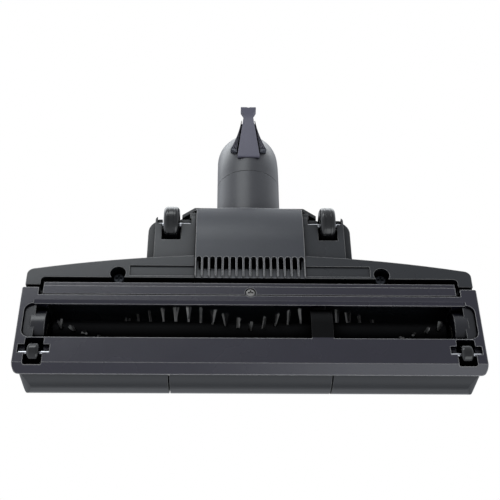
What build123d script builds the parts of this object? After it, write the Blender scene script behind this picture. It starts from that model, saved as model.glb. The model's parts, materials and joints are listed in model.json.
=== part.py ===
from build123d import *
import os
from math import asin, atan2, cos, degrees, radians, sin, sqrt, tan

# Air-turbine floor brush head, standing on its wheels.
# Millimetres, +Z up, front towards -Y, symmetric in X about the middle of the head.
# Stations in Y are measured back from the front lip and shifted to the origin at export.

# Common fits
wall = 2.2
seam_gap = 0.3
running_gap = 0.05
joint_gap = 0.5
fastener_gap = 0.08
small_radius = 1.0
cut_margin = 1.0

# Sole frame
head_width = 278.0
sole_height = 3.0
frame_height = 5.4
frame_plate = 2.4
slope_run = 5.0
lip_height = 5.0
mouth_front = 21.9
mouth_depth = 23.7
mouth_corner = 5.0
side_rail = 3.0
rear_rail = 13.2
rear_strip = 6.9
rear_strip_sink = 0.4
strip_line = 0.9
strip_line_depth = 1.3
side_slot = 2.6
rear_ledge = 3.0
ledge_sink = 1.3
mouth_lead = 2.6
mouth_lead_depth = 1.2
frame_corner = 4.0
frame_side_end = 57.2

# Roller and its bristles
roller_tip_radius = 17.0
roller_tip_clearance = 1.5
roller_core_radius = 7.5
roller_end_gap = 4.0
chamber_clearance = 2.0
tuft_pitch = 7.6
tuft_root = 1.0
tuft_base_radius = 1.6
tuft_tip_radius = 2.2
tuft_sides = 6
tuft_end_margin = 4.0
row_count = 2
row_twist = 1.6
row_apex_angle = -7.0
journal_radius = 3.0
bush_radius = 6.0
bush_length = 7.0
end_block_width = 8.5
end_block_plate = 4.0
end_block_radius = 14.4
end_plate_sink = 1.6

# Belt drive
belt_x = -42.8
belt_width = 7.0
belt_thickness = 1.2
roller_pulley_radius = 10.5
pinion_radius = 4.5
pulley_flange = 0.9
guard_width = 13.0
guard_thickness = 1.8

# Turbine
turbine_radius = 15.0
turbine_half_length = 19.0
turbine_tip_gap = 1.3
turbine_lift_angle = 31.3
shroud_wall = 1.7
shroud_end = 3.0
blade_count = 10
blade_thickness = 1.3
blade_sweep = 0.35
blade_bow = 0.55
turbine_hub_radius = 5.5
turbine_shaft_radius = 2.5
turbine_bearing_radius = 5.5

# Groove and rear tray of the base housing
groove_width = 7.4
groove_end_inset = 10.0
groove_height = 12.0
groove_corner = 2.5
tray_lap = 1.7
tray_height = 5.0
tray_inset = 1.0
tray_depth = 17.8
rear_edge_bow = 12.26
tray_corner = 4.5
recess_depth = 0.9
recess_margin = 1.5
screw_x = 82.0
screw_y = 69.3
screw_recess_radius = 4.9
screw_recess_depth = 8.0

# Centre block
block_half_width = 34.5
block_height = 4.0
block_flat_end = 95.0
block_end = 126.8
block_end_rise = 7.0
block_side_top = 13.4
block_lead = 1.2
block_rear_bow = 2.2
slot_count = 16
slot_side_margin = 2.25
slot_rib = 1.1
slot_front_depth = 1.1
slot_ramp_end = 76.2
slot_end = 82.0
slot_sink = 0.3

# Wheels and axles
rear_wheel_radius = 12.0
rear_wheel_width = 10.0
rear_wheel_bias = 0.25
rear_wheel_y = 112.5
rear_hub_radius = 8.4
hub_rim = 1.3
hub_dish = 2.2
hub_boss = 1.8
tyre_shoulder = 2.6
tyre_groove_x = 1.7
tyre_groove_width = 0.6
tyre_groove_depth = 0.5
rear_axle_radius = 1.5
rear_axle_root = 3.3
rear_axle_end_wall = 1.4
axle_recess = 4.2
rear_pocket_side_gap = 1.2
rear_pocket_front = 98.0
front_wheel_radius = 6.0
front_wheel_width = 7.5
front_wheel_shoulder = 2.2
front_wheel_inset = 11.7
front_wheel_y = 12.7
front_axle_radius = 1.25
front_axle_length = 18.6
front_slot_width = 11.0
front_slot_length = 17.4

# Carriage arms
carriage_height = 8.0
carriage_inset = 5.0
carriage_front = 78.0
carriage_end = 116.5
carriage_corner = 2.5
flange_top = 15.7

# Neck
socket_bore_radius = 17.6
socket_wall = 3.9
socket_length = 36.0
neck_axis_height = 35.5
drum_wall = 2.2
drum_extra_radius = 2.0
drum_side_gap = 2.8
trunnion_radius = 7.5
trunnion_length = 9.0
cheek_width = 4.0
cheek_half_depth = 10.5
cap_corner = 6.0
drum_window_low = 0.7
drum_window_high = 0.2
neck_seam_y = 162.0
elbow_straight = 7.0
elbow_angle = 50.0
elbow_radius = 36.0
spigot_length = 14.0
spigot_wall = 1.9
spigot_gap = 0.08
wand_stop = 0.6
ring_setback = 11.5
seal_setback = 4.0
ring_width = 1.9
ring_groove_depth = 0.9
ring_side_gap = 0.05
ring_bore_side_gap = 0.25
ring_play = 0.1

# Parking hook
hook_start = 174.0
hook_shoulder = 210.0
hook_tip = 218.0
hook_root_width = 15.7
hook_neck_width = 6.8
hook_fork_width = 10.8
hook_flare_width = 25.0
hook_drop = 4.5
hook_notch = 4.0
hook_step = 0.6
hook_tip_height = 4.5
hook_hollow_back = 6.0
hook_hollow_radius = 8.0
hook_belly_radius = 20.0
hook_fork_run = 2.5
hook_flare_setback = 9.0
hook_flare_rise = 1.5
hook_flare_neck = 1.5
hook_flare_waist = 0.36
hook_groove = 1.1
hook_groove_depth = 3.0
hook_neck_corner = 4.0

# Covers
cover_inset = 1.2
cover_seam_x = 48.0
front_bulge = 1.2
wing_top = 45.0
wing_crest_y = 36.0
wing_rear_top = 17.0
wing_side_radius = 16.0
cover_corner = 11.0
cover_seam_gap = 0.8
bumper_foot_y = 2.2
bumper_foot_rise = 2.0
bumper_foot_radius = 3.0
bumper_rise = 10.0
bumper_radius = 24.0
brow_y = 1.0
brow_drop = 5.6
brow_radius = 13.0
wing_crest_radius = 60.0
wing_rear_lap = 8.0
wing_side_lean = 0.5
hump_crown = 1.5
hump_crown_radius = 200.0
hump_half_width = 66.0
hump_front_half_width = 46.0
hump_front_y = 10.0
hump_front_corner = 4.0
hump_front_top = 30.0
hump_front_radius = 10.0
hump_brow_y = 44.0
hump_brow_radius = 40.0
hump_flare_radius = 30.0
hump_side_corner = 10.0
hump_rear_corner = 10.0
hump_rear_drop = 8.0
hump_rear_lean = 33.0
hump_corner_lean = 20.0
hump_corner_knee = 29.0
hump_shoulder_in = 14.0
hump_shoulder_radius = 18.0
hump_side_height = 30.0
hump_side_radius = 12.0
cover_seam_kink_y = 14.0
hump_flare_y = 70.0
hump_straight_end = 113.0
hump_end_margin = 3.5
neck_slot_gap = 1.3

# Screws
frame_screw_y = 54.3
frame_screw_head = 2.85
frame_screw_shank = 1.75
frame_screw_length = 11.0
housing_screw_head = 3.6
housing_screw_shank = 1.8
housing_screw_length = 14.0
housing_screw_head_height = 2.4
screw_recess_share = 0.6
screw_arm_share = 0.62
screw_slot_share = 0.18

# Worked-out stations
seam_height = sole_height + frame_height
head_half = head_width / 2
mouth_half = head_half - side_rail
end_block_outer = mouth_half - joint_gap
end_block_inner = end_block_outer - end_block_plate - end_block_width
roller_half_length = end_block_inner - roller_end_gap
groove_half_length = head_half - groove_end_inset
tray_half_width = head_half - tray_inset
rear_edge_radius = (tray_half_width ** 2 + rear_edge_bow ** 2) / (2 * rear_edge_bow)
front_wheel_x = head_half - front_wheel_inset
rear_wheel_x = (block_half_width + hump_half_width) / 2 + rear_wheel_bias
carriage_outer = hump_half_width - carriage_inset
rear_axle_start = block_half_width + rear_axle_root
rear_axle_end = carriage_outer - rear_axle_end_wall
rear_axle_length = rear_axle_end - rear_axle_start
rear_axle_x = (rear_axle_start + rear_axle_end) / 2
slot_pitch = 2 * (block_half_width - slot_side_margin) / (slot_count - 1)
slot_width = slot_pitch - slot_rib
mouth_rear = mouth_front + mouth_depth
frame_depth = mouth_rear + rear_rail
roller_y = mouth_front + mouth_depth / 2
roller_z = roller_tip_radius + roller_tip_clearance
chamber_radius = roller_tip_radius + chamber_clearance
arch_radius = chamber_radius + wall
shroud_radius = turbine_radius + turbine_tip_gap + shroud_wall
turbine_distance = arch_radius + shroud_radius + seam_gap
turbine_y = roller_y + turbine_distance * cos(radians(turbine_lift_angle))
turbine_z = roller_z + turbine_distance * sin(radians(turbine_lift_angle))
neck_radius = socket_bore_radius + socket_wall
drum_radius = neck_radius + drum_extra_radius
drum_half_width = block_half_width - wall - drum_side_gap
hump_end_half_width = drum_half_width + hump_end_margin
pivot_y = turbine_y + shroud_radius + drum_radius + 4 * joint_gap
pivot_z = neck_axis_height
neck_bore_radius = neck_radius - drum_wall
tray_front = frame_depth + groove_width
tray_end = tray_front + tray_depth
base_half_width = head_half - cover_inset - wall - seam_gap
base_front = bumper_foot_y + wall + seam_gap
cover_bottom = seam_height + seam_gap
trunnion_end = drum_half_width + trunnion_length
cover_half_width = head_half - cover_inset
hump_wrap = drum_radius + 2 * joint_gap + wall
hump_top = pivot_z + hump_wrap
hump_end = pivot_y + hump_wrap
end_block_top = roller_z + bush_radius + wall
spigot_radius = neck_bore_radius - spigot_gap
ring_y = neck_seam_y - ring_setback
seal_y = neck_seam_y - seal_setback
far = 400.0
deep = 30.0


def block(x0, x1, y0, y1, z0, z1):
    """Box between two corners."""
    return Pos((x0 + x1) / 2, (y0 + y1) / 2, (z0 + z1) / 2) * Box(x1 - x0, y1 - y0, z1 - z0)


def rod_x(y, z, radius, x0, x1):
    """Cylinder along X."""
    return Pos((x0 + x1) / 2, y, z) * Rot(0, 90, 0) * Cylinder(radius, x1 - x0)


def rod_y(x, z, radius, y0, y1):
    """Cylinder along Y."""
    return Pos(x, (y0 + y1) / 2, z) * Rot(90, 0, 0) * Cylinder(radius, y1 - y0)


def rod_z(x, y, radius, z0, z1):
    """Upright cylinder."""
    return Pos(x, y, (z0 + z1) / 2) * Cylinder(radius, z1 - z0)


def outline(*corners):
    """Flat face from (u, v, radius) corners, each rounded by its own radius."""
    edges = []
    runs = []
    for index, (u, v, radius) in enumerate(corners):
        here = Vector(u, v)
        back = (Vector(*corners[index - 1][:2]) - here).normalized()
        onward = (Vector(*corners[(index + 1) % len(corners)][:2]) - here).normalized()
        half_angle = radians(back.get_angle(onward) / 2)
        reach = radius / tan(half_angle)
        start = here + back * reach
        end = here + onward * reach
        runs.append((start, end))
        if radius:
            inward = (back + onward).normalized()
            middle = here + inward * (radius / sin(half_angle) - radius)
            edges.append(ThreePointArc(start, middle, end))
    for index, (_, end) in enumerate(runs):
        edges.append(Line(end, runs[(index + 1) % len(runs)][0]))
    return make_face(edges)


def side_prism(face, x0, x1):
    """Extrude a (y, z) face along X."""
    return Pos(x0, 0, 0) * extrude(Plane.YZ * face, amount=x1 - x0, dir=(1, 0, 0))


def front_prism(face, y0, y1):
    """Extrude an (x, z) face along Y."""
    return Pos(0, y0, 0) * extrude(Plane.XZ * face, amount=y1 - y0, dir=(0, 1, 0))


def plan_prism(face, z0, z1):
    """Extrude an (x, y) face upwards."""
    return Pos(0, 0, z0) * extrude(face, amount=z1 - z0, dir=(0, 0, 1))


def mirrored(shape):
    return mirror(shape, about=Plane.YZ)


def both_sides(shape):
    """A shape at +X together with its mirror image."""
    return shape + mirrored(shape)


def symmetric(*corners):
    """Corners on the +X side, closed by their mirror image."""
    left = [(-u, v, radius) for u, v, radius in reversed(corners)]
    return outline(*corners, *left)


def shrink(face, inset):
    """A face drawn in by an even inset, with its corners kept."""
    return offset(face, -inset, kind=Kind.INTERSECTION) if inset else face


def rear_edge(x):
    """Station of the tray's bowed rear edge at half-width x."""
    return tray_end - rear_edge_radius + sqrt(rear_edge_radius ** 2 - x ** 2)


def tray_plan(half_width, front, corner):
    """Plan of the tray: straight front and sides, bowed rear edge."""
    side_end = rear_edge(half_width)
    edges = Polyline((-half_width, side_end), (-half_width, front), (half_width, front),
                     (half_width, side_end))
    bow = ThreePointArc((half_width, side_end), (0, tray_end), (-half_width, side_end))
    face = make_face(edges + bow)
    rear_corners = face.vertices().group_by(Axis.Y)[1]
    return fillet(rear_corners, corner)


def make_belt_guard():
    """Strap that ramps off the front rail and wraps up behind the roller pulley."""
    inner = roller_pulley_radius + belt_thickness + pulley_flange + 2 * joint_gap
    outer = inner + guard_thickness
    x0 = belt_x - guard_width / 2
    x1 = belt_x + guard_width / 2
    bottom = roller_z - outer
    wrap = rod_x(roller_y, roller_z, outer, x0, x1) - rod_x(roller_y, roller_z, inner, x0, x1)
    wrap = wrap & block(x0, x1, roller_y, roller_y + outer, bottom, roller_z - inner / 3)
    ramp_face = outline(
        (mouth_front - joint_gap, sole_height, 0),
        (mouth_front + joint_gap, sole_height, 0),
        (roller_y, bottom, 0),
        (roller_y, bottom + guard_thickness, 0),
        (mouth_front - joint_gap, sole_height + guard_thickness, 0),
    )
    return wrap + side_prism(ramp_face, x0, x1)


def make_sole_frame():
    top = seam_height
    strip_half = groove_half_length - side_slot
    strip_front = frame_depth - rear_strip
    plan = symmetric(
        (head_half, 0, frame_corner),
        (head_half, frame_side_end, small_radius),
        (groove_half_length, frame_side_end, small_radius / 2),
        (groove_half_length, strip_front, small_radius / 2),
        (strip_half, strip_front, small_radius / 2),
        (strip_half, frame_depth, small_radius / 2),
    )
    frame = plan_prism(plan, sole_height, top)
    frame += block(-strip_half, strip_half, frame_depth, frame_depth + rear_ledge,
                   sole_height + ledge_sink, top)
    slope = outline(
        (-cut_margin, sole_height - cut_margin, 0),
        (slope_run, sole_height - cut_margin, 0),
        (slope_run, sole_height, 0),
        (0, sole_height + lip_height, 0),
        (-cut_margin, sole_height + lip_height, 0),
    )
    frame -= side_prism(slope, -head_half, head_half)
    mouth = outline(
        (-mouth_half, mouth_front, mouth_corner),
        (mouth_half, mouth_front, mouth_corner),
        (mouth_half, mouth_rear, mouth_corner),
        (-mouth_half, mouth_rear, mouth_corner),
    )
    frame -= plan_prism(mouth, 0, far)
    lead = outline(
        (mouth_rear - cut_margin, sole_height - cut_margin, 0),
        (mouth_rear + mouth_lead, sole_height - cut_margin, 0),
        (mouth_rear + mouth_lead, sole_height, 0),
        (mouth_rear - cut_margin, sole_height + mouth_lead_depth, 0),
    )
    frame -= side_prism(lead, -mouth_half + mouth_corner, mouth_half - mouth_corner)
    frame -= block(-strip_half, strip_half, strip_front, frame_depth, 0, sole_height + rear_strip_sink)
    frame -= block(-strip_half, strip_half, strip_front, strip_front + strip_line,
                   0, sole_height + strip_line_depth)
    pocket_floor = sole_height + frame_plate
    wheel_block = front_wheel_x - front_axle_length / 2 - wall
    frame -= block(-wheel_block, wheel_block, slope_run + wall, mouth_front - 2 * wall, pocket_floor, top)
    rear_pocket = block(-strip_half + wall, strip_half - wall,
                        mouth_rear + 2 * wall, frame_depth - wall, pocket_floor, top)
    boss = rod_z(0, frame_screw_y, frame_screw_head + wall, pocket_floor, top)
    frame -= rear_pocket - boss
    frame -= both_sides(front_wheel_well() + front_axle_recess())
    frame -= rod_z(0, frame_screw_y, frame_screw_shank + fastener_gap, 0, far)
    frame -= rod_z(0, frame_screw_y, frame_screw_head + joint_gap, 0, sole_height + frame_plate)
    frame -= rod_x(roller_y, roller_z, roller_tip_radius + 2 * joint_gap, -end_block_inner, end_block_inner)
    return frame + make_belt_guard()


def front_wheel_well():
    """Room for a front wheel, through the sole frame and the base floor."""
    x0 = front_wheel_x - front_slot_width / 2
    y0 = front_wheel_y - front_slot_length / 2
    well = outline(
        (x0, y0, small_radius),
        (x0 + front_slot_width, y0, small_radius),
        (x0 + front_slot_width, y0 + front_slot_length, small_radius),
        (x0, y0 + front_slot_length, small_radius),
    )
    return plan_prism(well, 0, 2 * front_wheel_radius + 2 * joint_gap)


def front_axle_recess():
    reach = front_axle_length / 2 + fastener_gap
    radius = front_axle_radius + fastener_gap
    x0 = front_wheel_x - reach
    x1 = front_wheel_x + reach
    return axle_seat(front_wheel_y, front_wheel_radius, radius, x0, x1)


def axle_seat(y, z, radius, x0, x1):
    """Open seat for an axle: half-round above, and a recess below that widens to the rear."""
    seat = rod_x(y, z, radius, x0, x1) + block(x0, x1, y - radius, y + radius, 0, z)
    return seat + block(x0, x1, y - radius, y + axle_recess, 0, z - radius / 2)


def make_screw(x, y, head_bottom, head_radius, head_height, shank_radius, length):
    """Pan-head screw driven upwards, with a cross recess."""
    head = rod_z(x, y, head_radius, head_bottom, head_bottom + head_height)
    head = fillet(head.edges().sort_by(Axis.Z)[0], head_height / 3)
    shank = rod_z(x, y, shank_radius, head_bottom + head_height, head_bottom + length)
    recess_top = head_bottom + head_height * screw_recess_share
    recess_bottom = head_bottom - cut_margin
    arm = head_radius * screw_arm_share
    slot = head_radius * screw_slot_share
    recess = block(x - arm, x + arm, y - slot, y + slot, recess_bottom, recess_top)
    recess += block(x - slot, x + slot, y - arm, y + arm, recess_bottom, recess_top)
    return head + shank - recess


def make_sole_screw():
    head_height = frame_plate - joint_gap
    return make_screw(0, frame_screw_y, sole_height + joint_gap, frame_screw_head, head_height,
                      frame_screw_shank, frame_screw_length)


def housing_screw_seat():
    return tray_height + screw_recess_depth


def make_housing_screws():
    head_bottom = housing_screw_seat() - housing_screw_head_height
    screw = make_screw(screw_x, screw_y, head_bottom, housing_screw_head, housing_screw_head_height,
                       housing_screw_shank, housing_screw_length)
    return [screw, mirrored(screw)]


def roller_chamber(x_half):
    return rod_x(roller_y, roller_z, chamber_radius, -x_half, x_half)


def hump_plan(inset):
    """Plan of the raised middle of the cover."""
    face = symmetric(
        (hump_front_half_width, hump_front_y, hump_front_corner),
        (hump_half_width, hump_flare_y, hump_flare_radius),
        (hump_half_width, hump_straight_end, hump_side_corner),
        (hump_end_half_width, hump_end, hump_rear_corner),
    )
    return shrink(face, inset)


def rear_wheel_pocket():
    half = rear_wheel_width / 2 + rear_pocket_side_gap
    roof = rear_wheel_radius * 2 + 2 * joint_gap
    return block(rear_wheel_x - half, rear_wheel_x + half, rear_pocket_front, far, 0, roof)


def rear_axle_slot():
    radius = rear_axle_radius + fastener_gap
    x0 = rear_axle_start - fastener_gap
    x1 = rear_axle_end + fastener_gap
    return axle_seat(rear_wheel_y, rear_wheel_radius, radius, x0, x1)


def make_carriage_arm():
    """One carriage arm at +X: open tray, wheel pocket walls, axle bosses, cover flange, trunnion cheek."""
    inner = block_half_width + seam_gap
    plan = outline(
        (inner, carriage_front, 0),
        (carriage_outer, carriage_front, 0),
        (carriage_outer, carriage_end, carriage_corner),
        (inner, carriage_end, 0),
    )
    arm = plan_prism(plan, carriage_height, flange_top)
    inside = offset(plan, -wall)
    arm -= plan_prism(inside, carriage_height + wall, far)
    flange = plan_prism(hump_plan(seam_gap), flange_top - wall, flange_top)
    arm += flange & block(inner, far, rear_edge(carriage_outer) + seam_gap, carriage_end, 0, far)
    pocket_half = rear_wheel_width / 2 + rear_pocket_side_gap + wall
    pocket_roof = rear_wheel_radius * 2 + 2 * joint_gap + wall
    pocket = block(rear_wheel_x - pocket_half, rear_wheel_x + pocket_half,
                   rear_pocket_front - wall, carriage_end, carriage_height, pocket_roof)
    inside_cover = hump_solid(wall + seam_gap) & block(-far, far, -far, far, flange_top, far)
    arm += pocket & (inside_cover + plan_prism(plan, 0, flange_top))
    boss_top = rear_wheel_radius + rear_axle_radius + wall
    arm += block(inner, carriage_outer - wall, rear_wheel_y - 3 * rear_axle_radius, carriage_end,
                 carriage_height, boss_top) & plan_prism(plan, 0, far)
    cheek = block(inner, inner + cheek_width, pivot_y - cheek_half_depth, pivot_y + cheek_half_depth,
                  carriage_height + wall, pivot_z)
    arm += cheek - rod_x(pivot_y, pivot_z, trunnion_radius + running_gap, 0, far)
    return arm - rear_wheel_pocket() - rear_axle_slot()


def make_base_housing():
    floor_top = seam_height + wall
    chamber_end = end_block_inner - joint_gap
    arch_end = chamber_end + wall
    floor = block(-base_half_width, base_half_width, base_front, tray_front, seam_height, floor_top)
    floor = floor & plan_prism(shrink(cover_plan(), wall + seam_gap), 0, far)
    arch = rod_x(roller_y, roller_z, arch_radius, -arch_end, arch_end)
    arch = arch & block(-far, far, -far, far, seam_height, far)
    trough_top = groove_height + wall
    trough = block(-groove_half_length - wall, groove_half_length + wall,
                   frame_depth - wall, tray_front + wall, seam_height, trough_top)
    plan = tray_plan(tray_half_width, frame_depth + tray_lap, tray_corner)
    tray = plan_prism(plan, tray_height, seam_height)
    hollow = tray_plan(tray_half_width - wall, tray_front + wall, tray_corner - wall)
    tray -= plan_prism(offset(hollow, -wall / 4), tray_height + wall, far)
    riser = block(-groove_half_length - wall, groove_half_length + wall, tray_front, tray_front + wall,
                  tray_height, trough_top)
    tower = rod_z(screw_x, screw_y, screw_recess_radius + wall, tray_height, housing_screw_seat() + wall)
    base = floor + arch + trough + tray + riser + both_sides(tower)
    base -= roller_chamber(chamber_end)
    end_pocket = block(chamber_end, base_half_width - wall, mouth_front, mouth_rear,
                       0, end_block_top + seam_gap)
    base -= both_sides(end_pocket)
    groove = outline(
        (-groove_half_length, frame_depth - joint_gap, 0),
        (groove_half_length, frame_depth - joint_gap, 0),
        (groove_half_length, tray_front, groove_corner),
        (-groove_half_length, tray_front, groove_corner),
    )
    base -= plan_prism(groove, 0, groove_height)
    shallow = block(block_half_width + joint_gap, screw_x - screw_recess_radius - wall,
                    tray_front + recess_margin, rear_edge(screw_x) - 2 * wall, 0, tray_height + recess_depth)
    base -= both_sides(shallow)
    screw_hole = rod_z(screw_x, screw_y, screw_recess_radius, 0, housing_screw_seat())
    screw_hole += rod_z(screw_x, screw_y, housing_screw_shank + fastener_gap, 0, far)
    base -= both_sides(screw_hole)
    boss = rod_z(0, frame_screw_y, frame_screw_shank + wall, seam_height,
                 sole_height + frame_screw_length + wall)
    base += boss - roller_chamber(chamber_end)
    base -= rod_z(0, frame_screw_y, frame_screw_shank + fastener_gap, 0,
                  sole_height + frame_screw_length + cut_margin)
    centre = block_half_width + seam_gap
    base -= block(-centre, centre, tray_front, far, 0, far)
    base -= both_sides(front_wheel_well())
    belt_half = belt_width / 2 + 2 * joint_gap
    base -= block(belt_x - belt_half, belt_x + belt_half, roller_y, turbine_y, floor_top, far)
    return base + both_sides(make_carriage_arm())


def make_turbine_cover():
    """Centre block: ribbed air intake in front, wrapped up under the neck behind."""
    run = block_end - block_flat_end
    curve = (run ** 2 + block_end_rise ** 2) / (2 * block_end_rise)
    half_run = run / 2
    mid_rise = curve - sqrt(curve ** 2 - half_run ** 2)

    def under_surface(lift):
        bottom = block_height + lift
        start = tray_front + seam_gap / 2 + lift
        rear_low = (block_end, bottom + block_end_rise)
        edges = Polyline(rear_low, (block_end, far), (start, far), (start, bottom + block_lead),
                         (start + block_lead, bottom), (block_flat_end, bottom))
        middle = (block_flat_end + half_run, bottom + mid_rise)
        return make_face(edges + ThreePointArc((block_flat_end, bottom), middle, rear_low))

    outer = side_prism(under_surface(0), -block_half_width, block_half_width)
    inside_half = block_half_width - wall
    inner = side_prism(under_surface(wall), -inside_half, inside_half)
    side_end = block_end - block_rear_bow
    rim = Polyline((-block_half_width, side_end), (-block_half_width, tray_front),
                   (block_half_width, tray_front),
                   (block_half_width, side_end))
    rim += ThreePointArc((block_half_width, side_end), (0, block_end), (-block_half_width, side_end))
    cover = (outer - inner) & plan_prism(make_face(rim), 0, block_side_top)
    for index in range(slot_count):
        x = (index - (slot_count - 1) / 2) * slot_pitch
        cover -= make_air_slot(x)
    return cover


def make_air_slot(x):
    """One air slot: floor ramping in from the front, open through the wall at its rounded rear end."""
    half = slot_width / 2
    below = block_height - cut_margin
    above = block_height + wall + slot_sink
    ramp = outline(
        (tray_front, below, 0),
        (tray_front, block_height + slot_front_depth, 0),
        (slot_ramp_end, above, 0),
        (slot_end - half, above, 0),
        (slot_end - half, below, 0),
    )
    return side_prism(ramp, x - half, x + half) + rod_z(x, slot_end - half, half, below, above)


def make_end_block():
    """Bearing block at the +X end of the roller."""
    x0 = end_block_inner
    x1 = x0 + end_block_width
    x2 = end_block_outer
    y0 = mouth_front + joint_gap
    y1 = mouth_rear - joint_gap
    saddle = rod_x(roller_y, roller_z, end_block_radius, x0, x1) & block(x0, x1, y0, y1, 0, end_block_top)
    plate = outline(
        (x1 - wall, y0, 0),
        (x2, y0, mouth_corner),
        (x2, y1, mouth_corner),
        (x1 - wall, y1, 0),
    )
    end = saddle + plan_prism(plate, sole_height + end_plate_sink, seam_height)
    return end - rod_x(roller_y, roller_z, bush_radius, x0, x0 + bush_length)


def make_roller_bush():
    x0 = end_block_inner
    x1 = x0 + bush_length
    return rod_x(roller_y, roller_z, bush_radius, x0, x1) - rod_x(
        roller_y, roller_z, journal_radius + running_gap, x0, x1)


def tuft_places():
    """(x, angle) of every tuft; the angle turns from straight down towards the rear."""
    reach = roller_half_length - tuft_end_margin
    steps = int(reach / tuft_pitch)
    keep_clear = guard_width / 2 + tuft_tip_radius
    places = []
    for row in range(row_count):
        for step in range(-steps, steps + 1):
            x = step * tuft_pitch
            angle = row_apex_angle + row * 360 / row_count + row_twist * abs(x)
            if abs(x - belt_x) > keep_clear:
                places.append((x, angle))
    return places


def make_tuft(x, angle):
    """A flared many-sided tuft, rooted in the core and pointing out along its angle."""
    root = Plane.XY.offset(roller_core_radius - tuft_root)
    tip = Plane.XY.offset(roller_tip_radius)
    tuft = loft([root * RegularPolygon(tuft_base_radius, tuft_sides),
                 tip * RegularPolygon(tuft_tip_radius, tuft_sides)])
    return Pos(x, roller_y, roller_z) * Rot(180 + angle, 0, 0) * tuft


def make_tufts():
    return [make_tuft(x, angle) for x, angle in tuft_places()]


def make_roller_core(tufts):
    core = rod_x(roller_y, roller_z, roller_core_radius, -roller_half_length, roller_half_length)
    pulley_half = belt_width / 2 + pulley_flange
    core -= rod_x(roller_y, roller_z, far, belt_x - pulley_half, belt_x + pulley_half) - rod_x(
        roller_y, roller_z, journal_radius * 2, belt_x - pulley_half, belt_x + pulley_half)
    journal_end = end_block_inner + bush_length
    core += both_sides(rod_x(roller_y, roller_z, journal_radius, roller_half_length, journal_end))
    return core - tufts


def make_pulley(y, z, radius, bore, x):
    """Flanged belt pulley."""
    half = belt_width / 2
    pulley = rod_x(y, z, radius, x - half, x + half)
    for side in (-1, 1):
        a = x + side * half
        b = a + side * pulley_flange
        pulley += rod_x(y, z, radius + belt_thickness, min(a, b), max(a, b))
    return pulley - rod_x(y, z, bore, x - far, x + far)


def make_belt():
    """Flat belt in one loop round the roller pulley and the turbine pinion."""
    def loop(extra):
        big = roller_pulley_radius + extra
        small = pinion_radius + extra
        lean = asin((big - small) / turbine_distance)
        sides = []
        for side in (1, -1):
            heading = radians(turbine_lift_angle) + side * (radians(90) - lean)
            c = cos(heading)
            s = sin(heading)
            on_big = (roller_y + big * c, roller_z + big * s)
            on_small = (turbine_y + small * c, turbine_z + small * s)
            sides.append((on_big, on_small))
        away = radians(turbine_lift_angle)
        big_far = (roller_y - big * cos(away), roller_z - big * sin(away))
        small_far = (turbine_y + small * cos(away), turbine_z + small * sin(away))
        (upper_big, upper_small), (lower_big, lower_small) = sides
        edges = Line(upper_big, upper_small) + ThreePointArc(upper_small, small_far, lower_small)
        edges += Line(lower_small, lower_big) + ThreePointArc(lower_big, big_far, upper_big)
        return make_face(edges)

    half = belt_width / 2 - running_gap
    ring = loop(running_gap + belt_thickness) - loop(running_gap)
    return side_prism(ring, belt_x - half, belt_x + half)


def make_turbine_wheel():
    """Bladed drum: hub, middle disc and curved blades."""
    half = turbine_half_length
    hub = rod_x(turbine_y, turbine_z, turbine_hub_radius, -half, half)
    disc_half = blade_thickness / 2
    disc = rod_x(turbine_y, turbine_z, turbine_radius - blade_thickness, -disc_half, disc_half)
    root = turbine_hub_radius - disc_half
    tip = turbine_radius
    swept = (tip - root) * blade_sweep
    line = ThreePointArc((root, 0), ((root + tip) / 2, swept * blade_bow), (tip - blade_thickness, swept))
    blade = side_prism(trace(line, blade_thickness), -half, half)
    wheel = hub + disc
    for index in range(blade_count):
        wheel += Pos(0, turbine_y, turbine_z) * Rot(index * 360 / blade_count, 0, 0) * blade
    return wheel - rod_x(turbine_y, turbine_z, turbine_shaft_radius, -far, far)


def shroud_end_x():
    return turbine_half_length + turbine_tip_gap


def make_turbine_shaft():
    left = belt_x - belt_width / 2 - pulley_flange
    right = shroud_end_x() + shroud_end
    return rod_x(turbine_y, turbine_z, turbine_shaft_radius, left, right)


def make_turbine_bearing():
    x0 = shroud_end_x()
    ring = rod_x(turbine_y, turbine_z, turbine_bearing_radius, x0, x0 + shroud_end)
    return ring - rod_x(turbine_y, turbine_z, turbine_shaft_radius + running_gap, x0, x0 + shroud_end)


def make_turbine_shroud():
    """Drum round the turbine: open towards the roller and the air slots, and back to the neck."""
    end = shroud_end_x()
    half = end + shroud_end
    foot = groove_height + wall
    shroud = rod_x(turbine_y, turbine_z, shroud_radius, -half, half)
    leg = block(end, half, frame_depth, tray_front, foot, turbine_z)
    shroud += both_sides(leg)
    shroud -= rod_x(turbine_y, turbine_z, shroud_radius - shroud_wall, -end, end)
    inlet = block(-end, end, turbine_y - turbine_radius / 2, turbine_y + turbine_radius / 2, 0, turbine_z)
    outlet = block(-end, end, turbine_y, far, turbine_z - turbine_radius / 2, turbine_z + turbine_radius / 2)
    shroud -= inlet + outlet
    return shroud - rod_x(turbine_y, turbine_z, turbine_bearing_radius, -far, far)


def make_rear_hub():
    half = rear_wheel_width / 2
    hub = rod_x(0, 0, rear_hub_radius, -half, half)
    dish = rod_x(0, 0, rear_hub_radius - hub_rim, half - hub_dish, half)
    dish -= rod_x(0, 0, rear_axle_radius + hub_boss, half - hub_dish, half)
    hub -= both_sides(dish)
    return hub - rod_x(0, 0, rear_axle_radius + running_gap, -half, half)


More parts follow.
